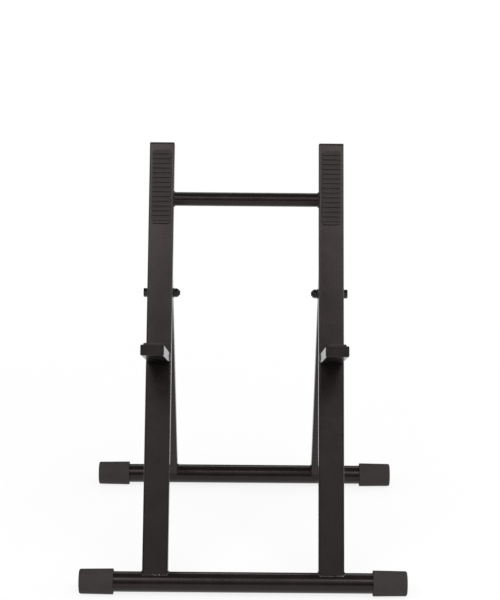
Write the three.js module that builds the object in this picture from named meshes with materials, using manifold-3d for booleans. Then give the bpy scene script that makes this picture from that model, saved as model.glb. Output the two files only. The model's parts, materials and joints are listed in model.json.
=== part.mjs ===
// A folding tilt-back stand: two leaning uprights on a front foot, a rear frame hinged behind them, and two
// seat arms hinged on their faces. Millimetres and degrees, +Z up, with the front at -Y.
// Left and right are as seen from the front. Lengths along an upright are measured from the foot tube's axis.
import * as THREE from 'three';
import { mergeVertices } from 'three/addons/utils/BufferGeometryUtils.js';
import Module from 'manifold-3d';

const wasm = await Module();
wasm.setup();

// Feet: a round tube across the front and another across the back, with rubber caps
const footLength = 508; // over the caps
const footSpacing = 419; // between the two foot axes with the stand open
const footTubeDiameter = 31.8;
const footTubeWall = 1.5;
const capLength = 53;
const capDiameter = 40;
const capTaper = 0.7; // radius lost towards the outer end
const capEndWall = 3;
const capEdgeRadius = 3;
const capMouthChamfer = 0.8;
const soleDepth = 1; // depth of the flat on a cap's underside

// Uprights and rear legs: flat-sided rectangular tube
const sideSpacing = 273; // between the centre lines of the left and right sides
const legWidth = 40;
const legDepth = 25;
const legWall = 1.6;
const legCornerRadius = 3;
const uprightLength = 700;
const uprightLean = 30; // from the vertical
const crossbarDiameter = 22.2;
const crossbarWall = 1.5;
const crossbarHeight = 612; // along the uprights
const topPlugThickness = 3;
const topPlugSpigot = 18;
const backPadWidth = 30;
const backPadLength = 122;
const backPadThickness = 5;
const backPadInset = 10; // below the upright's top end
const backPadCornerRadius = 6;

// Seat arms: flatter rectangular tube, folding up against the uprights
const armWidth = 35;
const armHeight = 16;
const armWall = 1.5;
const armCornerRadius = 2;
const armSlope = 23; // rise towards the front when down
const armReach = 200; // from the pivot to the front end
const armPivotHeight = 349.5; // along the upright
const armPivotStandoff = 12; // in front of the upright's face
const armNotchReach = 8; // opening in the top wall, past the pivot
const armPlugThickness = 2.4;
const armPlugSpigot = 14;
const armPadWidth = 28;
const armPadThickness = 3;
const armPadSetback = 15; // from the pivot to the pad's rear end
const armPadTipInset = 9; // from the arm's front end to the pad
const armPadCornerRadius = 4;

// Pivots of the arms: a rivet through the arm's sides and two ears that stand inside the arm
const rivetRadius = 3;
const rivetHeadRadius = 6.5;
const rivetHeadHeight = 2.2;
const armEarThickness = 2.5;
const armEarRadius = 6;
const armBracketFoot = 9; // height of its plate on the upright's face
const armBracketPlate = 2;
const armBushThickness = 1;
const armBushRadius = 5.6;

// Pivots of the rear frame: a bolt through the leg's sides and two ears that stand inside the leg
const rearPivotHeight = 463; // along the upright
const rearPivotStandoff = 14; // behind the upright's back face
const rearEarThickness = 3;
const rearEarRadius = 10.2;
const rearBracketFoot = 26;
const rearBracketPlate = 3;
const rearNotchReach = 14; // opening in the leg's front wall, below the pivot
const rearBushThickness = 1.5;
const rearBushRadius = 9;
const boltRadius = 4;
const boltHeadAcross = 13;
const boltHeadHeight = 5.3;
const nutHeight = 7;
const boltTail = 2; // thread past the nut
const washerRadius = 8;
const washerThickness = 1.6;

const fit = 0.3; // gap kept between pieces that touch or are welded
const overcut = 5; // how far a cutter runs past the surface that it cuts
const roundSteps = 36;
const smallSteps = 24;
const cornerSteps = 2; // a corner or a dome gets twice as many sides
const profileSteps = 5; // and so does an arc in a side view

// Places worked out from the sizes
const radians = THREE.MathUtils.degToRad;
const lean = radians(uprightLean);
const slope = radians(armSlope);
const capRadius = capDiameter / 2;
const soleDrop = capRadius - soleDepth; // from a foot's axis to the floor
const footTubeRadius = footTubeDiameter / 2;
const hole = (radius) => radius + fit;

// Point in the side view, from the front foot's axis: along the upright, and out behind its centre line
const onUpright = (along, behind) => ({
  y: along * Math.sin(lean) + behind * Math.cos(lean),
  z: along * Math.cos(lean) - behind * Math.sin(lean),
});
const armPivotBehind = -(legDepth / 2 + armPivotStandoff);
const rearPivotBehind = legDepth / 2 + rearPivotStandoff;
const armPivot = onUpright(armPivotHeight, armPivotBehind);
const rearPivot = onUpright(rearPivotHeight, rearPivotBehind);
const rearLegLength = Math.hypot(footSpacing - rearPivot.y, rearPivot.z);
const rearLean = Math.atan2(footSpacing - rearPivot.y, rearPivot.z);
const armTipY = armPivot.y - armReach * Math.cos(slope) - (armHeight / 2) * Math.sin(slope);
const middleY = (armTipY + footSpacing + capRadius) / 2;

const finish = (color, roughness, metalness) =>
  new THREE.MeshStandardMaterial({ color, roughness, metalness });
const blackPaint = () => finish(0x1b1a1a, 0.38, 0);
const blackRubber = () => finish(0x2b2a2b, 0.75, 0);
const blackPlastic = () => finish(0x222122, 0.5, 0);
const blackZinc = () => finish(0x232324, 0.35, 0.8);
const paleNylon = () => finish(0xcfcdc4, 0.55, 0);

const lengthwise = new THREE.Matrix4().makeBasis( // an extrusion's depth turned to run along X
  new THREE.Vector3(0, 1, 0), new THREE.Vector3(0, 0, 1), new THREE.Vector3(1, 0, 0));
const forwards = new THREE.Matrix4().makeBasis( // an extrusion's depth turned to run along -Y
  new THREE.Vector3(1, 0, 0), new THREE.Vector3(0, 0, 1), new THREE.Vector3(0, -1, 0));

function toSolid(geometry) {
  const bare = geometry.clone();
  bare.deleteAttribute('normal');
  bare.deleteAttribute('uv');
  const merged = mergeVertices(bare, 1e-4);
  return new wasm.Manifold(new wasm.Mesh({
    numProp: 3,
    vertProperties: new Float32Array(merged.attributes.position.array),
    triVerts: new Uint32Array(merged.index.array),
  }));
}

function toGeometry(solid) {
  const { vertProperties, triVerts } = solid.getMesh();
  const geometry = new THREE.BufferGeometry();
  geometry.setAttribute('position', new THREE.BufferAttribute(vertProperties, 3));
  geometry.setIndex(new THREE.BufferAttribute(triVerts, 1));
  geometry.computeVertexNormals();
  return geometry;
}

function joined(...geometries) {
  return toGeometry(geometries.map(toSolid).reduce((whole, next) => whole.add(next)));
}

function cut(geometry, ...cutters) {
  return toGeometry(cutters.map(toSolid).reduce((rest, cutter) => rest.subtract(cutter), toSolid(geometry)));
}

function trimmed(geometry, keep) {
  return toGeometry(toSolid(geometry).intersect(toSolid(keep)));
}

function roundedRectangle(path, width, height, radius) {
  const x = width / 2 - radius;
  const y = height / 2 - radius;
  path.moveTo(-x, -height / 2);
  path.lineTo(x, -height / 2);
  path.absarc(x, -y, radius, -Math.PI / 2, 0, false);
  path.absarc(x, y, radius, 0, Math.PI / 2, false);
  path.absarc(-x, y, radius, Math.PI / 2, Math.PI, false);
  path.absarc(-x, -y, radius, Math.PI, Math.PI * 1.5, false);
  return path;
}

function bar(width, height, radius, length) {
  const shape = roundedRectangle(new THREE.Shape(), width, height, radius);
  return new THREE.ExtrudeGeometry(shape, { depth: length, bevelEnabled: false, curveSegments: cornerSteps });
}

function rectangularTube(width, height, wall, radius, length) {
  const shape = roundedRectangle(new THREE.Shape(), width, height, radius);
  const bore = roundedRectangle(new THREE.Path(), width - 2 * wall, height - 2 * wall, radius - wall / 2);
  shape.holes.push(bore);
  return new THREE.ExtrudeGeometry(shape, { depth: length, bevelEnabled: false, curveSegments: cornerSteps });
}

// A ring or a tube lying along X, centred at the origin
function ring(outerRadius, innerRadius, length, steps) {
  const shape = new THREE.Shape().absarc(0, 0, outerRadius, 0, Math.PI * 2, false);
  shape.holes.push(new THREE.Path().absarc(0, 0, innerRadius, 0, Math.PI * 2, true));
  const geometry = new THREE.ExtrudeGeometry(shape, {
    depth: length, bevelEnabled: false, curveSegments: steps / 2,
  });
  return geometry.translate(0, 0, -length / 2).applyMatrix4(lengthwise);
}

// A plain round bar lying along X between two places
function rod(radius, from, to, steps) {
  const geometry = new THREE.CylinderGeometry(radius, radius, to - from, steps).rotateZ(-Math.PI / 2);
  return geometry.translate((from + to) / 2, 0, 0);
}

// A cutter along X for a hole right through a piece of that width
function drill(radius, width, steps) {
  return rod(hole(radius), -width / 2 - overcut, width / 2 + overcut, steps);
}

// A side-view outline in Y and Z, given a thickness along X and centred on it
function slab(shape, thickness) {
  const geometry = new THREE.ExtrudeGeometry(shape, {
    depth: thickness, bevelEnabled: false, curveSegments: profileSteps,
  });
  return geometry.translate(0, 0, -thickness / 2).applyMatrix4(lengthwise);
}

function addPart(group, name, geometry, material) {
  const mesh = new THREE.Mesh(geometry, material);
  mesh.name = name;
  group.add(mesh);
  return mesh;
}

function addFoot(group, name) {
  const tubeLength = footLength - 2 * (capEndWall + fit);
  const tube = ring(footTubeRadius, footTubeRadius - footTubeWall, tubeLength, roundSteps);
  addPart(group, `${name}_foot_tube`, tube, blackPaint());
  for (const [side, sign] of [['left', -1], ['right', 1]]) {
    const cap = addPart(group, `${name}_foot_cap_${side}`, capGeometry(), blackRubber());
    cap.position.x = sign * (footLength / 2 - capLength);
    cap.rotation.z = sign > 0 ? 0 : Math.PI;
  }
}

// A cap along X, open at the origin and closed at its outer end, with a flat sole
function capGeometry() {
  const bore = hole(footTubeRadius);
  const outer = capRadius - capTaper;
  const profile = new THREE.Path();
  profile.moveTo(0, capLength - capEndWall);
  profile.lineTo(bore, capLength - capEndWall);
  profile.lineTo(bore, 0);
  profile.lineTo(capRadius - capMouthChamfer, 0);
  profile.lineTo(capRadius, capMouthChamfer);
  profile.lineTo(outer, capLength - capEdgeRadius);
  profile.absarc(outer - capEdgeRadius, capLength - capEdgeRadius, capEdgeRadius, 0, Math.PI / 2, false);
  profile.lineTo(0, capLength);
  const turned = new THREE.LatheGeometry(profile.getPoints(cornerSteps), roundSteps).rotateZ(-Math.PI / 2);
  const underside = new THREE.BoxGeometry(3 * capLength, 3 * capDiameter, capDiameter);
  return cut(turned, underside.translate(0, 0, -soleDrop - capDiameter / 2));
}

// Tube along Z from the foot's axis up, saddled over the foot tube
function saddledLeg(length) {
  const tube = rectangularTube(legWidth, legDepth, legWall, legCornerRadius, length);
  return cut(tube, drill(footTubeRadius, legWidth, roundSteps));
}

function plugGeometry(width, height, wall, radius, thickness, spigot) {
  const clear = wall + fit;
  const flange = bar(width, height, radius, thickness);
  const insert = bar(width - 2 * clear, height - 2 * clear, radius - wall / 2, spigot + thickness / 2);
  return joined(flange, insert.translate(0, 0, -spigot));
}

// Two ears on a plate, open at the far side: the pivot is at the origin, the welded face lies towards +Y
function bracketGeometry(size) {
  const { width, standoff, earRadius, footHeight, earThickness, plateThickness, pinRadius } = size;
  const face = standoff - fit;
  const ear = new THREE.Shape();
  ear.moveTo(face, -footHeight / 2);
  ear.lineTo(face, footHeight / 2);
  ear.absarc(0, 0, earRadius, Math.PI / 2, Math.PI * 1.5, false);
  const plate = new THREE.BoxGeometry(width, plateThickness, footHeight);
  const inset = (width - earThickness) / 2;
  const whole = joined(
    slab(ear, earThickness).translate(-inset, 0, 0),
    slab(ear, earThickness).translate(inset, 0, 0),
    plate.translate(0, face - plateThickness / 2, 0));
  return cut(whole, drill(pinRadius, width, smallSteps));
}

// Rivet along X with a low domed head at each end of its grip
function rivetGeometry(grip) {
  const domeRadius = (rivetHeadRadius ** 2 + rivetHeadHeight ** 2) / (2 * rivetHeadHeight);
  const domeAngle = Math.asin(rivetHeadRadius / domeRadius);
  const domeCentre = grip / 2 + rivetHeadHeight - domeRadius;
  const profile = new THREE.Path();
  profile.moveTo(0, -grip / 2 - rivetHeadHeight);
  profile.absarc(0, -domeCentre, domeRadius, -Math.PI / 2, -Math.PI / 2 + domeAngle, false);
  profile.lineTo(rivetRadius, -grip / 2);
  profile.lineTo(rivetRadius, grip / 2);
  profile.lineTo(rivetHeadRadius, grip / 2);
  profile.absarc(0, domeCentre, domeRadius, Math.PI / 2 - domeAngle, Math.PI / 2, false);
  return joined(new THREE.LatheGeometry(profile.getPoints(cornerSteps), smallSteps).rotateZ(-Math.PI / 2));
}

function hexagon(across, height) {
  const radius = across / Math.sqrt(3);
  return new THREE.CylinderGeometry(radius, radius, height, 6).rotateZ(-Math.PI / 2);
}

// The arm along -Y from its pivot. Its rear end bears on the upright below, and is rounded above to clear it
function armGeometry() {
  const armLean = lean - slope; // how far the arm hangs below square to the upright
  const bearing = armPivotStandoff - fit;
  const half = armHeight / 2;
  const length = armReach - armPlugThickness - fit + armPivotStandoff;
  const tube = rectangularTube(armWidth, armHeight, armWall, armCornerRadius, length)
    .applyMatrix4(forwards).translate(0, armPivotStandoff, 0);
  const outline = new THREE.Shape();
  outline.moveTo(-armReach, -armHeight);
  outline.lineTo((bearing - armHeight * Math.sin(armLean)) / Math.cos(armLean), -armHeight);
  const shoulder = Math.asin(half / bearing); // where the rounded end meets the arm's top face
  outline.absarc(0, 0, bearing, -armLean, shoulder, false);
  outline.lineTo(bearing * Math.cos(shoulder), armHeight);
  outline.lineTo(-armReach, armHeight);
  const notchLength = armPivotStandoff + armNotchReach;
  const notch = new THREE.BoxGeometry(armWidth - 2 * armWall, notchLength, armHeight);
  return cut(trimmed(tube, slab(outline, armWidth + 2 * overcut)),
    notch.translate(0, armPivotStandoff - notchLength / 2, half),
    drill(rivetRadius, armWidth, smallSteps));
}

// The rear leg along Z with its pivot at the origin and its foot's axis below. Its top bears on the upright
function rearLegGeometry() {
  const open = lean + rearLean;
  const bearing = rearPivotStandoff - fit;
  const half = legDepth / 2;
  const top = (bearing + legDepth * Math.cos(open)) / Math.sin(open);
  const tube = saddledLeg(rearLegLength + top).translate(0, 0, -rearLegLength);
  const outline = new THREE.Shape();
  outline.moveTo(legDepth, -rearLegLength);
  outline.lineTo(legDepth, top);
  outline.lineTo(-bearing * Math.cos(open), bearing * Math.sin(open));
  const shoulder = Math.acos(half / bearing); // where the rounded top meets the leg's front face
  outline.absarc(0, 0, bearing, Math.PI - open, Math.PI - shoulder, false);
  outline.lineTo(-legDepth, bearing * Math.sin(shoulder));
  outline.lineTo(-legDepth, -rearLegLength);
  const notchHeight = top + rearNotchReach;
  const notch = new THREE.BoxGeometry(legWidth - 2 * legWall, legDepth, notchHeight);
  return cut(trimmed(tube, slab(outline, legWidth + 2 * overcut)),
    notch.translate(0, -half, -rearNotchReach + notchHeight / 2),
    drill(boltRadius, legWidth, smallSteps));
}

function addUpright(group, side) {
  addPart(group, `upright_${side}`, saddledLeg(uprightLength), blackPaint());
  const plug = plugGeometry(legWidth, legDepth, legWall, legCornerRadius, topPlugThickness, topPlugSpigot);
  addPart(group, `upright_plug_${side}`, plug, blackPlastic()).position.z = uprightLength + fit;
  const pad = bar(backPadWidth, backPadLength, backPadCornerRadius, backPadThickness).rotateX(Math.PI / 2);
  addPart(group, `back_pad_${side}`, pad, blackRubber()).position.set(
    0, -legDepth / 2 - fit, uprightLength - backPadInset - backPadLength / 2);
}

function addArm(uprightGroup, side) {
  const pivot = new THREE.Group();
  pivot.position.set(0, armPivotBehind, armPivotHeight);
  uprightGroup.add(pivot);
  const bushGap = armBushThickness + 2 * fit;
  const bracketWidth = armWidth - 2 * armWall - 2 * bushGap;
  const bracket = bracketGeometry({
    width: bracketWidth, standoff: armPivotStandoff, earRadius: armEarRadius, footHeight: armBracketFoot,
    earThickness: armEarThickness, plateThickness: armBracketPlate, pinRadius: rivetRadius,
  });
  addPart(pivot, `arm_bracket_${side}`, bracket, blackPaint());
  addPart(pivot, `arm_rivet_${side}`, rivetGeometry(armWidth + 2 * fit), blackZinc());
  for (const [end, way] of [['inner', 1], ['outer', -1]]) {
    const bush = ring(armBushRadius, hole(rivetRadius), armBushThickness, smallSteps);
    addPart(pivot, `arm_bush_${side}_${end}`, bush, paleNylon()).position.x =
      (side === 'left' ? way : -way) * (bracketWidth + bushGap) / 2;
  }
  const arm = new THREE.Group();
  arm.rotation.x = lean - slope;
  pivot.add(arm);
  addPart(arm, `seat_arm_${side}`, armGeometry(), blackPaint());
  const plug = plugGeometry(armWidth, armHeight, armWall, armCornerRadius, armPlugThickness, armPlugSpigot);
  addPart(arm, `arm_plug_${side}`, plug.applyMatrix4(forwards), blackPlastic()).position.y =
    -armReach + armPlugThickness;
  const padLength = armReach - armPadSetback - armPadTipInset;
  const pad = bar(armPadWidth, padLength, armPadCornerRadius, armPadThickness);
  addPart(arm, `arm_pad_${side}`, pad, blackRubber()).position.set(
    0, -armPadSetback - padLength / 2, armHeight / 2 + fit);
}

function addRearPivot(uprightGroup, side) {
  const pivot = new THREE.Group();
  pivot.position.set(0, rearPivotBehind, rearPivotHeight);
  pivot.rotation.z = side === 'left' ? Math.PI : 0; // the bolt's head is on the outer side
  uprightGroup.add(pivot);
  const bushGap = rearBushThickness + 2 * fit;
  const bracketWidth = legWidth - 2 * legWall - 2 * bushGap;
  const bracket = bracketGeometry({
    width: bracketWidth, standoff: rearPivotStandoff, earRadius: rearEarRadius, footHeight: rearBracketFoot,
    earThickness: rearEarThickness, plateThickness: rearBracketPlate, pinRadius: boltRadius,
  });
  addPart(pivot, `rear_bracket_${side}`, bracket, blackPaint()).rotation.z = side === 'left' ? 0 : Math.PI;
  for (const [end, way] of [['outer', 1], ['inner', -1]]) {
    const bush = ring(rearBushRadius, hole(boltRadius), rearBushThickness, smallSteps);
    addPart(pivot, `rear_bush_${side}_${end}`, bush, paleNylon()).position.x =
      way * (bracketWidth + bushGap) / 2;
    const washer = ring(washerRadius, hole(boltRadius), washerThickness, smallSteps);
    addPart(pivot, `rear_washer_${side}_${end}`, washer, blackZinc()).position.x =
      way * (legWidth / 2 + fit + washerThickness / 2);
  }
  const grip = legWidth / 2 + washerThickness + 2 * fit;
  const bolt = joined(
    hexagon(boltHeadAcross, boltHeadHeight).translate(grip + boltHeadHeight / 2, 0, 0),
    rod(boltRadius, -grip - nutHeight - boltTail, grip + boltHeadHeight / 2, smallSteps));
  addPart(pivot, `rear_bolt_${side}`, bolt, blackZinc());
  const nut = cut(hexagon(boltHeadAcross, nutHeight), drill(boltRadius, nutHeight, smallSteps));
  addPart(pivot, `rear_nut_${side}`, nut, blackZinc()).position.x = -grip - nutHeight / 2;
}

const stand = new THREE.Group();
stand.position.set(0, -middleY, soleDrop);

addFoot(stand, 'front');
const rearFoot = new THREE.Group();
rearFoot.position.y = footSpacing;
stand.add(rearFoot);
addFoot(rearFoot, 'rear');

for (const [side, sign] of [['left', -1], ['right', 1]]) {
  const upright = new THREE.Group();
  upright.position.x = sign * sideSpacing / 2;
  upright.rotation.x = -lean;
  stand.add(upright);
  addUpright(upright, side);
  addArm(upright, side);
  addRearPivot(upright, side);

  const rearLeg = new THREE.Group();
  rearLeg.position.set(sign * sideSpacing / 2, rearPivot.y, rearPivot.z);
  rearLeg.rotation.x = rearLean;
  stand.add(rearLeg);
  addPart(rearLeg, `rear_leg_${side}`, rearLegGeometry(), blackPaint());
}

const crossbar = new THREE.Group();
crossbar.rotation.x = -lean;
stand.add(crossbar);
const crossbarLength = sideSpacing - legWidth - 2 * fit;
addPart(crossbar, 'back_crossbar',
  ring(crossbarDiameter / 2, crossbarDiameter / 2 - crossbarWall, crossbarLength, roundSteps),
  blackPaint()).position.z = crossbarHeight;

export default stand;
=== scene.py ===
# A folding tilt-back stand: a black painted tube frame on rubber-capped feet, with two fold-up seat arms.
# The scene is in metres, +Z up, with the front at -Y. Pieces are modelled in millimetres, and addPiece makes
# them metres where it puts them in place.
import json
import math

import bmesh
import bpy
from mathutils import Matrix, Vector


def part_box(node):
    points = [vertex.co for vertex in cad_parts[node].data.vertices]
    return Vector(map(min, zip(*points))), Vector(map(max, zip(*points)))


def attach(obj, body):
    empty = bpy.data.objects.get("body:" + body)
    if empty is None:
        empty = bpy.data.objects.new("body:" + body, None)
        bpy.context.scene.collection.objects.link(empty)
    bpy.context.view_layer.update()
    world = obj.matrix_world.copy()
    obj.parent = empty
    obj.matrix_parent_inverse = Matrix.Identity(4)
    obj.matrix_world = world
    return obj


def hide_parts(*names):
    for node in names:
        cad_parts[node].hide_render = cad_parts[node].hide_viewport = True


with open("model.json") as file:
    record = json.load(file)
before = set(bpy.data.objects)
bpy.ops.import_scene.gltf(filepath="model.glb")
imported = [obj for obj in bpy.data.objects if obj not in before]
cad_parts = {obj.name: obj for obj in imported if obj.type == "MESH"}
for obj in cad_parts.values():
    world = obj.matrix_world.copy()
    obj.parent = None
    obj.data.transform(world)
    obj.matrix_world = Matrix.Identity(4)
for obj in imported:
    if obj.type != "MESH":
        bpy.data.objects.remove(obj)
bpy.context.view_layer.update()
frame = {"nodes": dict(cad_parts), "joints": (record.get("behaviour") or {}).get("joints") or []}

mm = 0.001
fit = 0.3  # mm between pieces that touch or are welded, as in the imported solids
overcut = 1  # mm that a cutter or a hidden end runs past the surface that it meets
sides = {"left": -1, "right": 1}
joints = {joint["name"]: Vector(joint["pos_m"]) for joint in frame["joints"]}


def middleOf(node):
    low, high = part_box(node)
    return (low + high) / 2


def turned(place, degrees):
    return Matrix.Translation(place) @ Matrix.Rotation(math.radians(degrees), 4, "X")


# Where the stand's parts lie: two angles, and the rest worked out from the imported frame
stand = {
    "lean": 30,  # degrees of the uprights from the vertical
    "armSlope": 23,  # degrees that the seat arms rise towards the front
}
frontFoot = middleOf("front_foot_tube")
rearFoot = middleOf("rear_foot_tube")
rearPivot = joints["rear_frame_fold"]
armPivot = joints["arm_right_fold"]
rearLegLength = (rearPivot - rearFoot).length / mm
rearLean = math.degrees(math.atan2(rearFoot.y - rearPivot.y, rearPivot.z - rearFoot.z))


def uprightPlace(side):  # Z runs up the upright from the foot's axis, -Y is its front face
    return turned(Vector((sides[side] * armPivot.x, frontFoot.y, frontFoot.z)), -stand["lean"])


def rearLegPlace(side):  # Z runs up the leg, with its hinge at the origin
    return turned(Vector((sides[side] * armPivot.x, rearPivot.y, rearPivot.z)), rearLean)


def armPlace(side):  # -Y runs out along the arm, with its rivet at the origin
    return turned(Vector((sides[side] * armPivot.x, armPivot.y, armPivot.z)), -stand["armSlope"])


def hingePlace(side, pivot):  # X runs outwards along the pin, and Z up the upright
    place = turned(Vector((sides[side] * armPivot.x, pivot.y, pivot.z)), -stand["lean"])
    return place @ Matrix.Rotation(math.pi if side == "left" else 0, 4, "Z")


print("frame loaded:", len(frame["nodes"]), "nodes")

# Camera
camera = {
    "fromFoot": (4.1, -2738.7, 1379.1),  # mm from the middle of the front foot
    "lens": 117.5,  # mm
    "down": 18.52,  # degrees, as are the next two
    "right": 0.06,
    "roll": 0.49,
}


def makeCamera():
    view = bpy.data.objects.new("camera", bpy.data.cameras.new("camera"))
    bpy.context.scene.collection.objects.link(view)
    view.data.lens = camera["lens"]
    view.data.clip_end = 100
    turn = Matrix.Rotation(math.radians(-camera["right"]), 4, "Z")
    tilt = Matrix.Rotation(math.radians(90 - camera["down"]), 4, "X")
    roll = Matrix.Rotation(math.radians(camera["roll"]), 4, "Z")
    place = Matrix.Translation(frontFoot + Vector(camera["fromFoot"]) * mm)
    view.matrix_world = place @ turn @ tilt @ roll
    bpy.context.scene.camera = view


makeCamera()
bpy.context.scene.view_settings.view_transform = "Standard"
print("camera placed")


# Shader nodes
class Wire:  # an output socket, so that shader maths reads as an expression
    def __init__(self, finish, socket):
        self.finish = finish
        self.socket = socket

    def maths(self, operation, first, second):
        return self.finish.add("ShaderNodeMath", {"operation": operation}, {0: first, 1: second})

    def __add__(self, other):
        return self.maths("ADD", self, other)

    def __radd__(self, other):
        return self.maths("ADD", other, self)

    def __sub__(self, other):
        return self.maths("SUBTRACT", self, other)

    def __rsub__(self, other):
        return self.maths("SUBTRACT", other, self)

    def __mul__(self, other):
        return self.maths("MULTIPLY", self, other)

    def __rmul__(self, other):
        return self.maths("MULTIPLY", other, self)


class Finish:  # the node tree of a material or of the world
    def __init__(self, owner):
        owner.use_nodes = True
        self.owner = owner
        self.tree = owner.node_tree
        self.tree.nodes.clear()

    def add(self, kind, settings=None, inputs=None, output=0):
        node = self.tree.nodes.new(kind)
        for name, value in (settings or {}).items():
            if name == "stops":
                for stop, (where, shade) in zip(node.color_ramp.elements, value):
                    stop.position = where
                    stop.color = (shade, shade, shade, 1)
            else:
                setattr(node, name, value)
        for name, value in (inputs or {}).items():
            if isinstance(value, Wire):
                self.tree.links.new(value.socket, node.inputs[name])
            else:
                node.inputs[name].default_value = value
        return Wire(self, node.outputs[output]) if node.outputs else node

    def place(self, stretch=(1, 1, 1)):
        where = self.add("ShaderNodeTexCoord", output="Object")
        return self.add("ShaderNodeMapping", inputs={"Vector": where, "Scale": stretch})

    def noise(self, size, detail=2.0, roughness=0.5, stretch=(1, 1, 1)):  # size is that of a blotch in mm
        return self.add("ShaderNodeTexNoise", inputs={
            "Vector": self.place(stretch),
            "Scale": 1 / (size * mm),
            "Detail": detail,
            "Roughness": roughness,
        })

    def ramp(self, value, *stops):
        return self.add("ShaderNodeValToRGB", {"stops": stops}, {"Fac": value})

    def blotches(self, size, detail, roughness, start, end):  # 0 below the start level, 1 above the end level
        return self.ramp(self.noise(size, detail, roughness), (start, 0), (end, 1))

    def blend(self, factor, first, second):  # two colours, of which the first may be a link already
        if not isinstance(first, Wire):
            first = (*first, 1)
        colours = {0: factor, 6: first, 7: (*second, 1)}  # a colour mix's sockets A and B are 6 and 7
        return self.add("ShaderNodeMix", {"data_type": "RGBA"}, colours, output=2)

    def bump(self, height, depth, strength=1.0):  # depth in mm
        return self.add("ShaderNodeBump", inputs={
            "Height": height, "Distance": depth * mm, "Strength": strength})

    def surface(self, inputs):
        shader = self.add("ShaderNodeBsdfPrincipled", inputs=inputs)
        self.add("ShaderNodeOutputMaterial", inputs={"Surface": shader})
        return self.owner


def newFinish(name):
    return Finish(bpy.data.materials.new(name))


# Finishes: sizes and depths in mm, and each share says how much of a pattern shows
def makeBlackPaint(name, rippled=0.0, thin=0.0):  # semi-gloss powder coat, rippled and worn thin on a weld
    look = {
        "black": (0.0078, 0.0058, 0.0056),
        "dusty": (0.0165, 0.0135, 0.0126),
        "steel": (0.5, 0.49, 0.48),
        "smudge": {"size": 42, "detail": 5, "roughness": 0.62, "start": 0.38, "end": 0.68},
        "smudgeShare": 0.35,
        "speck": {"size": 0.9, "detail": 3, "roughness": 0.7, "start": 0.66, "end": 0.74},
        "speckShare": 0.3,
        "fleck": {"size": 1.5, "detail": 2, "roughness": 0.5, "start": 0.57, "end": 0.64},
        "gloss": 0.18,  # lowest roughness
        "smudgeRoughness": 0.05,
        "grainRoughness": 0.05,
        "peelSize": 1.5,
        "peelDepth": 0.007,
        "grainSize": 0.4,
        "grainDepth": 0.002,
        "rippleSize": 2.2,
        "ior": 1.38,
        "warmth": (1.0, 0.87, 0.86, 1),  # of the gloss
    }
    finish = newFinish(name)
    smudge = finish.blotches(**look["smudge"])
    specks = finish.blotches(**look["speck"])
    peel = finish.noise(look["peelSize"], detail=1.5)
    grain = finish.noise(look["grainSize"])
    height = peel * look["peelDepth"] + grain * look["grainDepth"]
    dust = smudge * look["smudgeShare"] + specks * look["speckShare"]
    colour = finish.blend(dust, look["black"], look["dusty"])
    bare = 0.0
    if rippled:
        height = height + finish.noise(look["rippleSize"]) * rippled
    if thin:
        bare = finish.blotches(**look["fleck"]) * thin
        colour = finish.blend(bare, colour, look["steel"])
    return finish.surface({
        "Base Color": colour,
        "Metallic": bare,
        "Roughness": look["gloss"] + smudge * look["smudgeRoughness"] + grain * look["grainRoughness"],
        "Normal": finish.bump(height, 1.0),
        "IOR": look["ior"],
        "Specular Tint": look["warmth"],
    })


def makeRubber(name, soiled=False):  # soiled is for the feet, which pick up dust at the floor
    look = {
        "black": (0.026, 0.0222, 0.0222),
        "bloom": (0.039, 0.0342, 0.034),  # the pale film on old rubber
        "dust": (0.085, 0.08, 0.073),
        "cloud": {"size": 24, "detail": 6, "roughness": 0.66, "start": 0.35, "end": 0.7},
        "cloudShare": 0.8,
        "dustPatch": {"size": 5, "detail": 6, "roughness": 0.5, "start": 0.42, "end": 0.62},
        "dustShare": 0.5,
        "dustHeight": 0.007,  # m above the floor
        "matte": 0.62,  # lowest roughness
        "cloudRoughness": 0.16,
        "grainRoughness": 0.1,
        "grainSize": 0.55,
        "grainDepth": 0.03,
        "poresPerMetre": 1400,
        "poreDepth": 0.02,
        "ior": 1.42,
        "warmth": (1.0, 0.88, 0.87, 1),  # of the gloss
    }
    finish = newFinish(name)
    cloud = finish.blotches(**look["cloud"])
    grain = finish.noise(look["grainSize"], detail=4, roughness=0.6)
    pores = finish.add("ShaderNodeTexVoronoi", {"feature": "F1"}, {
        "Vector": finish.place(), "Scale": look["poresPerMetre"]})
    colour = finish.blend(cloud * look["cloudShare"], look["black"], look["bloom"])
    if soiled:
        level = finish.add("ShaderNodeSeparateXYZ", inputs={0: finish.place()}, output="Z")
        low = finish.ramp(level * (1 / look["dustHeight"]), (0.0, 1), (1.0, 0))
        dust = low * finish.blotches(**look["dustPatch"]) * look["dustShare"]
        colour = finish.blend(dust, colour, look["dust"])
    return finish.surface({
        "Base Color": colour,
        "Roughness": look["matte"] + cloud * look["cloudRoughness"] + grain * look["grainRoughness"],
        "Normal": finish.bump(grain * look["grainDepth"] + pores * look["poreDepth"], 1.0),
        "IOR": look["ior"],
        "Specular Tint": look["warmth"],
    })


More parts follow.
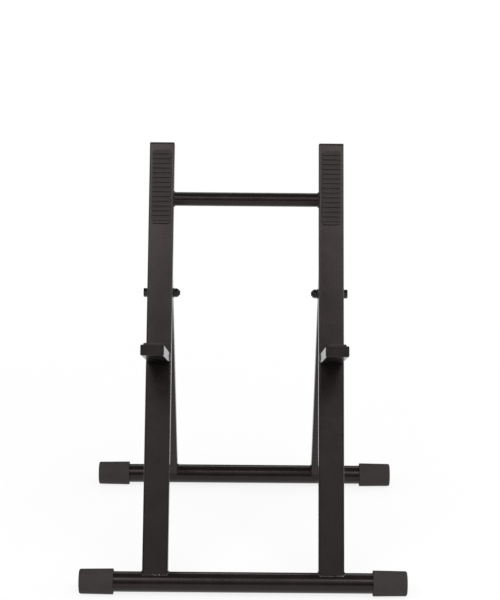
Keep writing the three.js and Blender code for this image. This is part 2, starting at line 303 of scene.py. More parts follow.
def makePlastic(name):  # moulded, with a spark-eroded texture
    look = {
        "black": (0.0075, 0.006, 0.0057),
        "worn": (0.013, 0.011, 0.0105),
        "cloud": {"size": 11, "detail": 4, "roughness": 0.5, "start": 0.36, "end": 0.7},
        "matte": 0.4,  # lowest roughness
        "cloudRoughness": 0.1,
        "sparkRoughness": 0.12,
        "sparkSize": 0.32,
        "sparkDepth": 0.02,
        "ior": 1.36,
        "warmth": (1.0, 0.88, 0.86, 1),  # of the gloss
    }
    finish = newFinish(name)
    cloud = finish.blotches(**look["cloud"])
    spark = finish.noise(look["sparkSize"], detail=3, roughness=0.55)
    return finish.surface({
        "Base Color": finish.blend(cloud, look["black"], look["worn"]),
        "Roughness": look["matte"] + cloud * look["cloudRoughness"] + spark * look["sparkRoughness"],
        "Normal": finish.bump(spark, look["sparkDepth"]),
        "IOR": look["ior"],
        "Specular Tint": look["warmth"],
    })


def makeZinc(name):  # black zinc plating on steel
    look = {
        "dark": (0.035, 0.035, 0.037),
        "pale": (0.085, 0.083, 0.08),
        "cloud": {"size": 4.5, "detail": 6, "roughness": 0.65, "start": 0.34, "end": 0.7},
        "gloss": 0.3,  # lowest roughness
        "cloudRoughness": 0.12,
        "pitRoughness": 0.1,
        "pitSize": 0.3,
        "pitDepth": 0.012,
    }
    finish = newFinish(name)
    cloud = finish.blotches(**look["cloud"])
    pits = finish.noise(look["pitSize"], detail=3, roughness=0.6)
    return finish.surface({
        "Base Color": finish.blend(cloud, look["dark"], look["pale"]),
        "Metallic": 1.0,
        "Roughness": look["gloss"] + cloud * look["cloudRoughness"] + pits * look["pitRoughness"],
        "Normal": finish.bump(pits, look["pitDepth"]),
    })


def makeNylon(name):  # turned from natural nylon
    look = {
        "pale": (0.64, 0.63, 0.58),
        "stained": (0.5, 0.48, 0.42),
        "cloud": {"size": 3.2, "detail": 5, "roughness": 0.5, "start": 0.4, "end": 0.75},
        "cloudShare": 0.6,
        "matte": 0.42,  # lowest roughness
        "lineRoughness": 0.14,
        "lineSize": 0.5,
        "lineStretch": (4, 1, 1),
        "lineDepth": 0.006,
        "ior": 1.53,
    }
    finish = newFinish(name)
    cloud = finish.blotches(**look["cloud"])
    lines = finish.noise(look["lineSize"], stretch=look["lineStretch"])
    return finish.surface({
        "Base Color": finish.blend(cloud * look["cloudShare"], look["pale"], look["stained"]),
        "Roughness": look["matte"] + lines * look["lineRoughness"],
        "Normal": finish.bump(lines, look["lineDepth"]),
        "IOR": look["ior"],
    })


paint = makeBlackPaint("blackPaint")
weldPaint = makeBlackPaint("blackPaintOnWeld", rippled=0.12)
thinWeldPaint = makeBlackPaint("thinPaintOnWeld", rippled=0.12, thin=0.8)
footRubber = makeRubber("footRubber", soiled=True)
padRubber = makeRubber("padRubber")
plastic = makePlastic("mouldedPlastic")
zinc = makeZinc("blackZinc")
nylon = makeNylon("naturalNylon")
print("finishes made")


# Modelling: every mesh below is in millimetres until addPiece places it
meshing = {
    "level": 0.01,  # mm within which a point counts as on a face
    "merge": 0.005,  # mm between points of a solid that become one
    "spinMerge": 0.001,
    "flat": 1,  # degrees between triangles that become one face
    "sharp": 30,  # degrees from which an edge of a solid is broken
    "rim": 34,  # degrees from which an edge round a flat end is its rim
}


def verticesOf(result):
    return [part for part in result if isinstance(part, bmesh.types.BMVert)]


def edgesOf(result):
    return [part for part in result if isinstance(part, bmesh.types.BMEdge)]


def addPiece(name, mesh, finish, slot, body, *nodes, place=None, crease=32):
    placed = (place or Matrix.Identity(4)) @ Matrix.Scale(mm, 4)
    bmesh.ops.transform(mesh, matrix=placed, verts=mesh.verts)
    bmesh.ops.recalc_face_normals(mesh, faces=mesh.faces)
    data = bpy.data.meshes.new(name)
    mesh.to_mesh(data)
    mesh.free()
    data.shade_smooth()
    data.set_sharp_from_angle(angle=math.radians(crease))
    data.materials.append(finish)
    piece = bpy.data.objects.new(name, data)
    bpy.context.scene.collection.objects.link(piece)
    even = piece.modifiers.new("evenShading", "WEIGHTED_NORMAL")
    even.keep_sharp = True
    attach(piece, body)
    if nodes:
        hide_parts(*nodes)
    return piece


def toObject(mesh, name):
    data = bpy.data.meshes.new(name)
    mesh.to_mesh(data)
    mesh.free()
    made = bpy.data.objects.new(name, data)
    bpy.context.scene.collection.objects.link(made)
    return made


def discard(made):
    data = made.data
    bpy.data.objects.remove(made)
    bpy.data.meshes.remove(data)


def carved(mesh, operation, *cutters):
    body = toObject(mesh, "workpiece")
    tools = [toObject(cutter, "cutter") for cutter in cutters]
    for tool in tools:
        cut = body.modifiers.new("cut", "BOOLEAN")
        cut.operation = operation
        cut.solver = "EXACT"
        cut.object = tool
    shaped = body.evaluated_get(bpy.context.evaluated_depsgraph_get()).to_mesh()
    result = bmesh.new()
    result.from_mesh(shaped)
    for made in (body, *tools):
        discard(made)
    return result


def together(*meshes):
    whole = bmesh.new()
    for mesh in meshes:
        part = toObject(mesh, "part")
        whole.from_mesh(part.data)
        discard(part)
    return whole


def rounded(mesh, edges, radius, segments=3):
    bmesh.ops.bevel(mesh, geom=edges, affect="EDGES", offset=radius, offset_type="OFFSET",
                    segments=segments, profile=0.5, material=-1, clamp_overlap=True)


def rimEdges(mesh, axis, level):  # the edges round the flat face at that level
    rim = []
    for edge in mesh.edges:
        if all(abs(vertex.co[axis] - level) < meshing["level"] for vertex in edge.verts):
            if len(edge.link_faces) == 2 and edge.calc_face_angle() > math.radians(meshing["rim"]):
                rim.append(edge)
    return rim


def arc(along, radius, size, start, end, steps=6):  # points of an outline, angles in degrees from its axis
    turns = [math.radians(start + (end - start) * step / steps) for step in range(steps + 1)]
    return [(along + size * math.cos(turn), radius + size * math.sin(turn)) for turn in turns]


def spun(outline, steps=72, closed=False):  # (along X, radius) points turned round the X axis
    mesh = bmesh.new()
    points = [mesh.verts.new((along, 0, radius)) for along, radius in outline]
    lines = [mesh.edges.new(pair) for pair in zip(points, points[1:])]
    if closed:
        lines.append(mesh.edges.new((points[-1], points[0])))
    bmesh.ops.spin(mesh, geom=points + lines, cent=(0, 0, 0), axis=(1, 0, 0), angle=2 * math.pi,
                   steps=steps, use_merge=True)
    bmesh.ops.remove_doubles(mesh, verts=mesh.verts, dist=meshing["spinMerge"])
    return mesh


def tubeOutline(inner, outer, half):
    return [(-half, inner), (-half, outer), (half, outer), (half, inner)]


def ringOutline(inner, outer, half, edge=0.25):  # a flat ring's section with broken edges
    return [(-half, inner), (-half, outer - edge), (-half + edge, outer),
            (half - edge, outer), (half, outer - edge), (half, inner)]


def prism(width, depth, corner, height, wall=0.0, cornerSteps=8):  # stands on Z = 0; a wall makes it a tube
    mesh = bmesh.new()
    bmesh.ops.create_grid(mesh, x_segments=1, y_segments=1, size=0.5)
    bmesh.ops.scale(mesh, vec=(width, depth, 1), verts=mesh.verts)
    bmesh.ops.bevel(mesh, geom=mesh.verts[:], affect="VERTICES", offset=corner, offset_type="OFFSET",
                    segments=cornerSteps, profile=0.5, material=-1)
    if wall:
        rim = bmesh.ops.inset_region(mesh, faces=mesh.faces[:], thickness=wall, use_boundary=True,
                                     use_even_offset=True)["faces"]
        bore = [face for face in mesh.faces if face not in rim]
        bmesh.ops.delete(mesh, geom=bore, context="FACES_ONLY")
    raised = bmesh.ops.extrude_face_region(mesh, geom=mesh.faces[:], use_keep_orig=True)["geom"]
    bmesh.ops.translate(mesh, verts=verticesOf(raised), vec=(0, 0, height))
    return mesh


def alongX(mesh):  # turns Z into X
    bmesh.ops.rotate(mesh, verts=mesh.verts, cent=(0, 0, 0), matrix=Matrix.Rotation(math.pi / 2, 3, "Y"))
    return mesh


def moved(mesh, x=0, y=0, z=0):
    bmesh.ops.translate(mesh, verts=mesh.verts, vec=(x, y, z))
    return mesh


def cadCopy(node, chamfer):  # a CAD solid with its triangles merged and its sharp edges broken
    mesh = bmesh.new()
    mesh.from_mesh(frame["nodes"][node].data)
    bmesh.ops.scale(mesh, vec=(1 / mm, 1 / mm, 1 / mm), verts=mesh.verts)
    bmesh.ops.remove_doubles(mesh, verts=mesh.verts, dist=meshing["merge"])
    bmesh.ops.dissolve_limit(mesh, angle_limit=math.radians(meshing["flat"]), verts=mesh.verts[:],
                             edges=mesh.edges[:])
    limit = math.radians(meshing["sharp"])
    sharp = [edge for edge in mesh.edges if edge.is_manifold and edge.calc_face_angle() > limit]
    rounded(mesh, sharp, chamfer, segments=2)
    return mesh


# Feet
foot = {"diameter": 31.8, "wall": 1.5, "steps": 96}


def halfLengthOf(node):  # of a piece that lies across, in mm
    low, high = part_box(node)
    return (high.x - low.x) / 2 / mm


def makeFootTube(end, body):
    node = f"{end}_foot_tube"
    outer = foot["diameter"] / 2
    outline = tubeOutline(outer - foot["wall"], outer, halfLengthOf(node))
    addPiece(f"{end}FootTube", spun(outline, steps=foot["steps"], closed=True), paint, "black_paint", body,
             node, place=Matrix.Translation(middleOf(node)))


cap = {
    "length": 53,
    "radius": 20,
    "taper": 0.7,  # radius lost towards the outer end
    "endWall": 3,
    "endRadius": 3,
    "lip": 0.9,  # rounding of the mouth
    "mouth": 0.5,  # chamfer inside it
    "dish": 0.6,  # depth of the disc in the end face
    "dishRadius": 12,
    "dishSlope": 0.5,
    "gateRadius": 1.6,  # the pit in the middle of the disc, where the mould was filled
    "gate": 0.3,
    "sole": 19,  # from the axis to the flat
    "soleRim": 1.4,
    "treadDepth": 0.5,
}


def makeFootCap(end, side, body):
    bore = foot["diameter"] / 2 + fit
    outer = cap["radius"] - cap["taper"]
    tip = cap["length"]
    floor = tip - cap["dish"]
    outline = [(tip - cap["endWall"], 0), (tip - cap["endWall"], bore)]
    outline += [(cap["mouth"], bore), (0, bore + cap["mouth"])]
    outline += arc(cap["lip"], cap["radius"] - cap["lip"], cap["lip"], 180, 90, 4)
    outline += arc(tip - cap["endRadius"], outer - cap["endRadius"], cap["endRadius"], 90, 0, 8)
    outline += [(tip, cap["dishRadius"] + cap["dishSlope"]), (floor, cap["dishRadius"])]
    outline += [(floor, cap["gateRadius"]), (floor - cap["gate"], 0)]
    mesh = spun(outline)
    section = bmesh.ops.bisect_plane(mesh, geom=mesh.verts[:] + mesh.edges[:] + mesh.faces[:],
                                     plane_co=(0, 0, -cap["sole"]), plane_no=(0, 0, -1), clear_outer=True)
    sole = bmesh.ops.contextual_create(mesh, geom=edgesOf(section["geom_cut"]))["faces"]
    bmesh.ops.inset_region(mesh, faces=sole, thickness=cap["soleRim"], depth=cap["treadDepth"])
    place = Matrix.Translation(middleOf(f"{end}_foot_tube"))
    place.translation.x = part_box(f"{end}_foot_cap_{side}")[0 if side == "right" else 1].x
    if side == "left":
        place = place @ Matrix.Rotation(math.pi, 4, "Z")
    addPiece(f"{end}FootCap_{side}", mesh, footRubber, "black_rubber", body, f"{end}_foot_cap_{side}",
             place=place, crease=40)


for end, body in (("front", "front_frame"), ("rear", "rear_frame")):
    makeFootTube(end, body)
    for side in sides:
        makeFootCap(end, side, body)
print("feet made")

# Uprights, with their top plugs and back pads
leg = {"width": 40, "depth": 25, "wall": 1.6, "corner": 3, "length": 700}


def footDrill():  # what the foot tube cuts from the end of a leg that stands on it
    return spun(tubeOutline(0, foot["diameter"] / 2 + fit, leg["width"]), steps=foot["steps"])


def makeUpright(side):
    tube = prism(leg["width"], leg["depth"], leg["corner"], leg["length"], wall=leg["wall"])
    addPiece(f"uprightTube_{side}", carved(tube, "DIFFERENCE", footDrill()), paint, "black_paint",
             "front_frame", f"upright_{side}", place=uprightPlace(side))


plug = {
    "rim": 1.1,  # rounding of the head
    "border": 2.2,  # round the dimple
    "dimple": 0.5,
    "dimpleSlope": 0.4,
    "stemInset": 0.5,  # of the stem inside its ribs
    "stemCorner": 1,
    "ribs": 3,
    "ribWidth": 1.6,
    "ribCorner": 1.4,
    "ribLead": 0.4,  # their lower edges, broken to go in
    "ribStart": 0.8,  # place of the first, in rib spaces below the head
}


def plugMesh(tube, size):  # the head stands on Z = 0, and the spigot hangs below it
    head = prism(tube["width"], tube["depth"], tube["corner"], size["head"])
    rounded(head, rimEdges(head, 2, size["head"]), plug["rim"], segments=4)
    top = max(head.faces, key=lambda face: face.calc_center_median().z)
    bmesh.ops.inset_region(head, faces=[top], thickness=plug["border"], depth=0)
    bmesh.ops.inset_region(head, faces=[top], thickness=plug["dimpleSlope"], depth=-plug["dimple"])
    clear = tube["wall"] + fit
    width, depth = tube["width"] - 2 * clear, tube["depth"] - 2 * clear
    inset = 2 * plug["stemInset"]
    parts = [head, moved(prism(width - inset, depth - inset, plug["stemCorner"], size["spigot"]),
                         z=-size["spigot"])]
    for rib in range(plug["ribs"]):
        ring = prism(width, depth, plug["ribCorner"], plug["ribWidth"])
        rounded(ring, rimEdges(ring, 2, 0), plug["ribLead"], segments=2)
        parts.append(moved(ring, z=-size["spigot"] * (rib + plug["ribStart"]) / plug["ribs"]))
    return together(*parts)


pad = {
    "base": 0.45,  # share of the thickness under the ribs
    "ribSlope": 0.9,
    "soft": 0.35,  # rounding of the ribs
}


def padMesh(size, length):  # lies on Z = 0 along Y, ribbed across
    ribs = round(length / size["pitch"])
    mesh = bmesh.new()
    bmesh.ops.create_grid(mesh, x_segments=1, y_segments=2 * ribs + 1, size=0.5)
    bmesh.ops.scale(mesh, vec=(size["width"], length, 1), verts=mesh.verts)
    corners = [vertex for vertex in mesh.verts if len(vertex.link_edges) == 2]
    bmesh.ops.bevel(mesh, geom=corners, affect="VERTICES", offset=size["corner"], offset_type="OFFSET",
                    segments=5, profile=0.5, material=-1)
    strips = sorted(mesh.faces, key=lambda face: face.calc_center_median().y)
    border = [edge for edge in mesh.edges if edge.is_boundary]
    base = size["thickness"] * pad["base"]
    skirt = bmesh.ops.extrude_edge_only(mesh, edges=border)["geom"]
    bmesh.ops.translate(mesh, verts=verticesOf(skirt), vec=(0, 0, -base))
    bmesh.ops.contextual_create(mesh, geom=edgesOf(skirt))
    raised = strips[1::2]
    bmesh.ops.inset_individual(mesh, faces=raised, thickness=pad["ribSlope"], depth=size["thickness"] - base,
                               use_even_offset=True)
    crests = {edge for face in raised for edge in face.edges}
    rounded(mesh, list(crests), pad["soft"], segments=2)
    return moved(mesh, z=base)


topPlug = {"head": 3, "spigot": 18}
backPad = {
    "width": 30,
    "length": 122,
    "corner": 6,
    "thickness": 5,
    "inset": 10,  # below the upright's top end
    "pitch": 8,  # of the ribs
}


def makeUprightFittings(side):
    mesh = moved(plugMesh(leg, topPlug), z=leg["length"] + fit)
    addPiece(f"topPlug_{side}", mesh, plastic, "black_plastic", "front_frame", f"upright_plug_{side}",
             place=uprightPlace(side))
    middle = leg["length"] - backPad["inset"] - backPad["length"] / 2
    onFace = Matrix.Translation((0, -leg["depth"] / 2 - fit, middle)) @ Matrix.Rotation(math.pi / 2, 4, "X")
    mesh = padMesh(backPad, backPad["length"])
    bmesh.ops.transform(mesh, matrix=onFace, verts=mesh.verts)
    addPiece(f"backPad_{side}", mesh, padRubber, "black_rubber", "front_frame", f"back_pad_{side}",
             place=uprightPlace(side), crease=50)


crossbar = {"diameter": 22.2, "wall": 1.5}


def makeCrossbar():
    node = "back_crossbar"
    outer = crossbar["diameter"] / 2
    outline = tubeOutline(outer - crossbar["wall"], outer, halfLengthOf(node))
    addPiece("backCrossbar", spun(outline, closed=True), paint, "black_paint", "front_frame", node,
             place=turned(middleOf(node), -stand["lean"]))


for side in sides:
    makeUpright(side)
    makeUprightFittings(side)
makeCrossbar()
print("uprights made")

# Rear legs and seat arms keep the outlines of their solids, with their edges broken by so many mm
broken = {"leg": 0.35, "arm": 0.3, "bracket": 0.35}


def makeRearLeg(side):
    node = f"rear_leg_{side}"
    addPiece(f"rearLeg_{side}", cadCopy(node, broken["leg"]), paint, "black_paint", "rear_frame", node)


arm = {"width": 35, "depth": 16, "wall": 1.5, "corner": 2, "reach": 200}  # reach is from the rivet to the end
armPlug = {"head": 2.4, "spigot": 14}
armPad = {
    "width": 28,
    "corner": 4,
    "thickness": 3,
    "setback": 15,  # from the rivet
    "tipInset": 9,  # from the arm's front end
    "pitch": 8,  # of the ribs
}


def makeArm(side):
    body = f"arm_{side}"
    node = f"seat_arm_{side}"
    addPiece(f"seatArm_{side}", cadCopy(node, broken["arm"]), paint, "black_paint", body, node)
    mesh = plugMesh(arm, armPlug)
    bmesh.ops.rotate(mesh, verts=mesh.verts, matrix=Matrix.Rotation(math.pi / 2, 3, "X"))
    moved(mesh, y=armPlug["head"] - arm["reach"])
    addPiece(f"armPlug_{side}", mesh, plastic, "black_plastic", body, f"arm_plug_{side}",
             place=armPlace(side))
    length = arm["reach"] - armPad["setback"] - armPad["tipInset"]
    mesh = padMesh(armPad, length)
    moved(mesh, y=-armPad["setback"] - length / 2, z=arm["depth"] / 2 + fit)
    addPiece(f"armPad_{side}", mesh, padRubber, "black_rubber", body, f"arm_pad_{side}", place=armPlace(side),
             crease=50)


for side in sides:
    makeRearLeg(side)
    makeArm(side)
print("rear legs and arms made")

# Hinges
rivet = {"radius": 3, "head": 6.5, "rise": 2.2}


def makeRivet(side):
    bow = (rivet["head"] ** 2 + rivet["rise"] ** 2) / (2 * rivet["rise"])  # radius of a head's dome
    spread = math.degrees(math.asin(rivet["head"] / bow))
    half = arm["width"] / 2 + fit
    middle = half + rivet["rise"] - bow
    outline = arc(-middle, 0, bow, 180, 180 - spread, 8)
    outline += [(-half, rivet["radius"]), (half, rivet["radius"])]
    outline += arc(middle, 0, bow, spread, 0, 8)
    addPiece(f"armRivet_{side}", spun(outline, steps=48), zinc, "black_zinc", "front_frame",
             f"arm_rivet_{side}", place=hingePlace(side, armPivot), crease=40)


bush = {
    "arm": {"radius": 5.6, "bore": 3.3, "thickness": 1.0},
    "rear": {"radius": 9, "bore": 4.3, "thickness": 1.5},
}
washer = {"radius": 8, "bore": 4.3, "thickness": 1.6}


def makeRing(name, node, size, finish, slot):  # a bush or a washer, where its node is
    outline = ringOutline(size["bore"], size["radius"], size["thickness"] / 2)
    addPiece(name, spun(outline, steps=48, closed=True), finish, slot, "front_frame", node,
             place=turned(middleOf(node), -stand["lean"]))


bolt = {
    "radius": 4,
    "across": 13,  # flats
    "head": 5.3,
    "chamfer": 1.1,  # height of the turned corners
    "chamferRise": 0.4,  # how far outside the corners it starts
    "face": 0.97,  # the turned end face, as a share of the flats
    "tail": 2,  # thread past the nut
    "pitch": 1.25,
    "thread": 0.45,  # depth
    "point": 0.8,  # taken off the radius at the tip
    "pointLength": 0.6,
    "runout": 0.5,  # plain part at the nut's inner face
}
nut = {
    "height": 7,
    "collar": 1.9,  # the part that grips the thread
    "collarInset": 0.5,  # from the flats
    "collarRound": 0.8,
    "mouth": 1,  # from the bore to the collar's opening
    "mouthWidth": 0.4,
    "mouthDepth": 0.3,
    "root": 0.2,  # how far the collar goes into the hexagon
}
insert = {"start": 0.35, "end": 1.6, "inner": 0.05, "outer": 0.9}  # from the nut's end and from its bore


def hexagon(across, start, end, bevelStart, bevelEnd):  # along X, with its corners turned off at the ends
    corner = across / math.sqrt(3)
    blank = bmesh.new()
    bmesh.ops.create_circle(blank, cap_ends=True, segments=6, radius=corner)
    raised = bmesh.ops.extrude_face_region(blank, geom=blank.faces[:], use_keep_orig=True)["geom"]
    bmesh.ops.translate(blank, verts=verticesOf(raised), vec=(0, 0, end - start))
    moved(alongX(blank), x=start)
    face = across / 2 * bolt["face"]
    turn = [(start, 0), (start, face if bevelStart else corner + overcut)]
    if bevelStart:
        turn.append((start + bolt["chamfer"], corner + bolt["chamferRise"]))
    if bevelEnd:
        turn.append((end - bolt["chamfer"], corner + bolt["chamferRise"]))
    turn += [(end, face if bevelEnd else corner + overcut), (end, 0)]
    return carved(blank, "INTERSECT", spun(turn, steps=72))


def boltGrip():  # from the hinge's middle to the underside of the head and of the nut
    return leg["width"] / 2 + washer["thickness"] + 2 * fit


def makeBolt(side):
    grip = boltGrip()
    radius = bolt["radius"]
    head = hexagon(bolt["across"], grip, grip + bolt["head"], False, True)
    end = -grip - nut["height"] - bolt["tail"]
    outline = [(end, 0), (end, radius - bolt["point"])]
    crest = end + bolt["pointLength"]
    while crest < -grip - bolt["runout"]:
        outline += [(crest, radius), (crest + bolt["pitch"] / 2, radius - bolt["thread"])]
        crest += bolt["pitch"]
    outline += [(crest, radius), (grip + overcut, radius), (grip + overcut, 0)]
    addPiece(f"rearBolt_{side}", together(head, spun(outline, steps=48)), zinc, "black_zinc", "front_frame",
             f"rear_bolt_{side}", place=hingePlace(side, rearPivot))


def makeNut(side):
    grip = boltGrip()
    bore = bolt["radius"] + fit
    wide = bolt["across"] / 2 - nut["collarInset"]
    end = -grip - nut["height"]
    root = end + nut["collar"] + nut["root"]
    body = hexagon(bolt["across"], end + nut["collar"], -grip, True, True)
    start, stop = end - overcut, overcut - grip
    hole = spun([(start, 0), (start, bore), (stop, bore), (stop, 0)], steps=48)
    body = carved(body, "DIFFERENCE", hole)
    mouth = bore + nut["mouth"]
    collar = [(end + nut["mouthDepth"], mouth), (end, mouth + nut["mouthWidth"])]
    collar += arc(end + nut["collarRound"], wide - nut["collarRound"], nut["collarRound"], 150, 90, 4)
    collar += [(root, wide), (root, mouth)]
    addPiece(f"rearNut_{side}", together(body, spun(collar, steps=60, closed=True)), zinc, "black_zinc",
             "front_frame", f"rear_nut_{side}", place=hingePlace(side, rearPivot))
    inner, outer = bore + insert["inner"], bore + insert["outer"]
    start, stop = end + insert["start"], end + insert["end"]
    section = [(start, inner), (start, outer), (stop, outer), (stop, inner)]
    addPiece(f"rearNutInsert_{side}", spun(section, steps=48, closed=True), nylon, "nylon", "front_frame",
             place=hingePlace(side, rearPivot))


for side in sides:
    makeRivet(side)
    makeBolt(side)
    makeNut(side)
    for hinge in ("arm", "rear"):
        node = f"{hinge}_bracket_{side}"
        addPiece(f"{hinge}Bracket_{side}", cadCopy(node, broken["bracket"]), paint, "black_paint",
                 "front_frame", node)
        for end in ("inner", "outer"):
            makeRing(f"{hinge}Bush_{side}_{end}", f"{hinge}_bush_{side}_{end}", bush[hinge], nylon, "nylon")
    for end in ("inner", "outer"):
        makeRing(f"rearWasher_{side}_{end}", f"rear_washer_{side}_{end}", washer, zinc, "black_zinc")
print("hinges made")

# Weld beads, built up in ripples along the joints
weld = {
    "radius": 1.5,
    "step": 0.45,  # between the points along a bead
    "ripple": 2.3,  # length of one
    "depth": 0.2,  # share of the radius
    "wander": 0.14,  # slow change of the radius
    "wanderBeats": (0.37, 0.11),  # radians per mm
    "wanderStart": 1,
    "out": 0.3,  # from the faces
}


def beadAlong(points, radius, closed=True):
    curve = bpy.data.curves.new("bead", "CURVE")
    curve.dimensions = "3D"
    curve.bevel_depth = radius
    curve.bevel_resolution = 3
    curve.use_fill_caps = True
    spline = curve.splines.new("POLY")
    spline.points.add(len(points) - 1)
    spline.use_cyclic_u = closed
    travelled = 0
    quick, slow = weld["wanderBeats"]
    for index, (knot, point) in enumerate(zip(spline.points, points)):
        if index:
            travelled += (Vector(point) - Vector(points[index - 1])).length
        beat = abs(math.sin(math.pi * travelled / weld["ripple"]))
        drift = math.sin(travelled * quick) * math.sin(travelled * slow + weld["wanderStart"])
        knot.co = (*point, 1)
        knot.radius = 1 - weld["depth"] * (1 - beat) + weld["wander"] * drift
    made = bpy.data.objects.new("bead", curve)
    bpy.context.scene.collection.objects.link(made)
    shaped = made.evaluated_get(bpy.context.evaluated_depsgraph_get()).to_mesh()
    mesh = bmesh.new()
    mesh.from_mesh(shaped)
    bpy.data.objects.remove(made)
    bpy.data.curves.remove(curve)
    return mesh


def roundSection(width, depth, corner, step):  # points round a rounded rectangle in X and Y
    points = []
    for quarter in range(4):
        turn = Matrix.Rotation(math.pi / 2 * quarter, 2)
        across, deep = (width, depth) if quarter % 2 == 0 else (depth, width)
        side = int((deep - 2 * corner) / step)
        for index in range(side):
            points.append(turn @ Vector((across / 2, -deep / 2 + corner + index * step)))
        bend = max(2, int(corner * math.pi / 2 / step))
        for index in range(bend):
            angle = math.pi / 2 * index / bend
            points.append(turn @ Vector((across / 2 - corner + corner * math.cos(angle),
                                         deep / 2 - corner + corner * math.sin(angle))))
    return points


def makeFootWeld(end, side, body, place, drop):  # follows the saddle where a leg stands on its foot tube
    radius = foot["diameter"] / 2
    rim = roundSection(leg["width"] + weld["out"], leg["depth"] + weld["out"], leg["corner"], weld["step"])
    points = [(x, y, math.sqrt(radius ** 2 - y ** 2) - drop) for x, y in rim]
    finish = thinWeldPaint if end == "front" else weldPaint
    addPiece(f"{end}FootWeld_{side}", beadAlong(points, weld["radius"]), finish, "black_paint", body,
             place=place, crease=80)


def makeCrossbarWeld(side):
    radius = crossbar["diameter"] / 2 + weld["out"] / 2
    steps = int(2 * math.pi * radius / weld["step"])
    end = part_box("back_crossbar")[0 if side == "left" else 1].x
    turns = [2 * math.pi * step / steps for step in range(steps)]
    points = [(0, radius * math.cos(turn), radius * math.sin(turn)) for turn in turns]
    place = turned(middleOf("back_crossbar"), -stand["lean"])
    place.translation.x = end
    addPiece(f"crossbarWeld_{side}", beadAlong(points, weld["radius"]), weldPaint, "black_paint",
             "front_frame", place=place, crease=80)


bracketWeld = {
    "radius": 1.0,
    "length": 22,
    "beside": 0.6,  # out from the plate
    "behind": 0.4,  # off the upright's face
}


def makeBracketWelds(side):  # down both sides of the plate that carries the rear hinge
    hinge = uprightPlace(side).inverted() @ Vector((sides[side] * armPivot.x, rearPivot.y, rearPivot.z))
    start = hinge.z / mm - bracketWeld["length"] / 2
    across = halfLengthOf(f"rear_bracket_{side}") + bracketWeld["beside"]
    behind = leg["depth"] / 2 + bracketWeld["behind"]
    steps = int(bracketWeld["length"] / weld["step"])
    beads = []
    for way in (-1, 1):
        points = [(way * across, behind, start + step * weld["step"]) for step in range(steps)]
        beads.append(beadAlong(points, bracketWeld["radius"], closed=False))
    addPiece(f"rearBracketWeld_{side}", together(*beads), weldPaint, "black_paint", "front_frame",
             place=uprightPlace(side), crease=80)


for side in sides:
    makeFootWeld("front", side, "front_frame", uprightPlace(side), 0)
    makeFootWeld("rear", side, "rear_frame", rearLegPlace(side), rearLegLength)
    makeCrossbarWeld(side)
    makeBracketWelds(side)
print("welds made")

# Floor, sky and lamps
studio = {
    "floorSize": 24,  # m
    "floorWhite": 0.9,
    "shadowShare": 0.16,  # how much of the lit floor the camera sees under the plain white, near the feet
    "shadowStart": 0.35,  # where that begins to fade, as a share of its reach
    "shadowReach": 1.2,  # m
    "skyLevel": 0.55,
    "drapeRadius": 9,  # m
    "drapeHem": 0.01,  # m above the floor
    "drapeGrey": 0.1,
}


def rayShare(finish):  # 1 for what the camera, a gloss or a glass sees
    rays = [finish.add("ShaderNodeLightPath", output=name)
            for name in ("Is Camera Ray", "Is Glossy Ray", "Is Transmission Ray")]
    return finish.add("ShaderNodeClamp", inputs={0: rays[0] + rays[1] + rays[2]})


def makeFloor():
    mesh = bmesh.new()
    bmesh.ops.create_grid(mesh, x_segments=1, y_segments=1, size=studio["floorSize"] / 2)
    floor = toObject(mesh, "floor")
    finish = newFinish("paleFloor")
    lit = finish.add("ShaderNodeBsdfDiffuse", inputs={"Color": (*(studio["floorWhite"],) * 3, 1)})
    white = finish.add("ShaderNodeEmission", inputs={"Color": (1, 1, 1, 1), "Strength": 1.0})
    away = finish.add("ShaderNodeVectorMath", {"operation": "LENGTH"}, {0: finish.place()}, "Value")
    near = finish.ramp(away * (1 / studio["shadowReach"]), (studio["shadowStart"], 1), (1.0, 0))
    share = rayShare(finish) * (1 - near * studio["shadowShare"])
    mixed = finish.add("ShaderNodeMixShader", inputs={0: share, 1: lit, 2: white})
    finish.add("ShaderNodeOutputMaterial", inputs={"Surface": mixed})
    floor.data.materials.append(finish.owner)


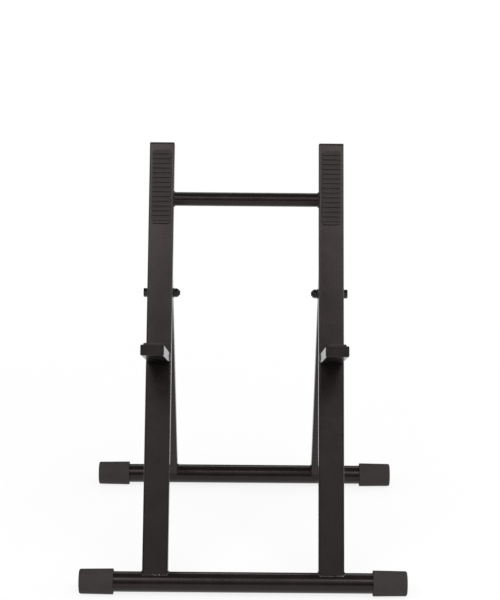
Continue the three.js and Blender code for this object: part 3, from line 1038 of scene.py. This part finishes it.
def makeSky():
    world = bpy.data.worlds.new("studio")
    bpy.context.scene.world = world
    finish = Finish(world)
    level = studio["skyLevel"] + rayShare(finish) * (1 - studio["skyLevel"])
    sky = finish.add("ShaderNodeBackground", inputs={"Color": (1, 1, 1, 1), "Strength": level})
    finish.add("ShaderNodeOutputWorld", inputs={"Surface": sky})


def makeDrape():  # dark cloth round and over the set, which shows in nothing but the gloss of the paint
    mesh = bmesh.new()
    bmesh.ops.create_uvsphere(mesh, u_segments=48, v_segments=24, radius=studio["drapeRadius"])
    bmesh.ops.bisect_plane(mesh, geom=mesh.verts[:] + mesh.edges[:] + mesh.faces[:],
                           plane_co=(0, 0, studio["drapeHem"]), plane_no=(0, 0, -1), clear_outer=True)
    drape = toObject(mesh, "drape")
    finish = newFinish("darkDrape")
    grey = (*(studio["drapeGrey"],) * 3, 1)
    cloth = finish.add("ShaderNodeEmission", inputs={"Color": grey, "Strength": 1.0})
    finish.add("ShaderNodeOutputMaterial", inputs={"Surface": cloth})
    drape.data.materials.append(finish.owner)
    for ray in ("camera", "diffuse", "transmission", "shadow"):
        setattr(drape, f"visible_{ray}", False)


lamps = {  # places and sizes in m
    "frontLeftSoftbox": {"place": (-1.1, -1.87, 2.96), "size": (1.9, 1.1), "watts": 30},
    "frontRightSoftbox": {"place": (1.15, -1.87, 2.96), "size": (1.9, 1.1), "watts": 32},
    "frontFill": {"place": (0, -3.04, 2.22), "size": (3.0, 1.0), "watts": 6.5},
    "leftSoftbox": {"place": (-2.6, -0.6, 1.7), "size": (0.8, 1.6), "watts": 12},
    "rightSoftbox": {"place": (2.6, 0.2, 1.1), "size": (2.4, 1.2), "watts": 26},
    "backSoftbox": {"place": (0.4, 2.6, 2.4), "size": (2.0, 0.8), "watts": 12},
}
lampAim = Vector((0, 0, 0.3))  # the middle of the stand


def makeLamp(name):
    lamp = bpy.data.lights.new(name, "AREA")
    lamp.shape = "RECTANGLE"
    lamp.size, lamp.size_y = lamps[name]["size"]
    lamp.energy = lamps[name]["watts"]
    made = bpy.data.objects.new(name, lamp)
    bpy.context.scene.collection.objects.link(made)
    made.location = lamps[name]["place"]
    made.rotation_euler = (lampAim - made.location).to_track_quat("-Z", "Y").to_euler()


makeFloor()
makeSky()
makeDrape()
for name in lamps:
    makeLamp(name)
print("studio made")
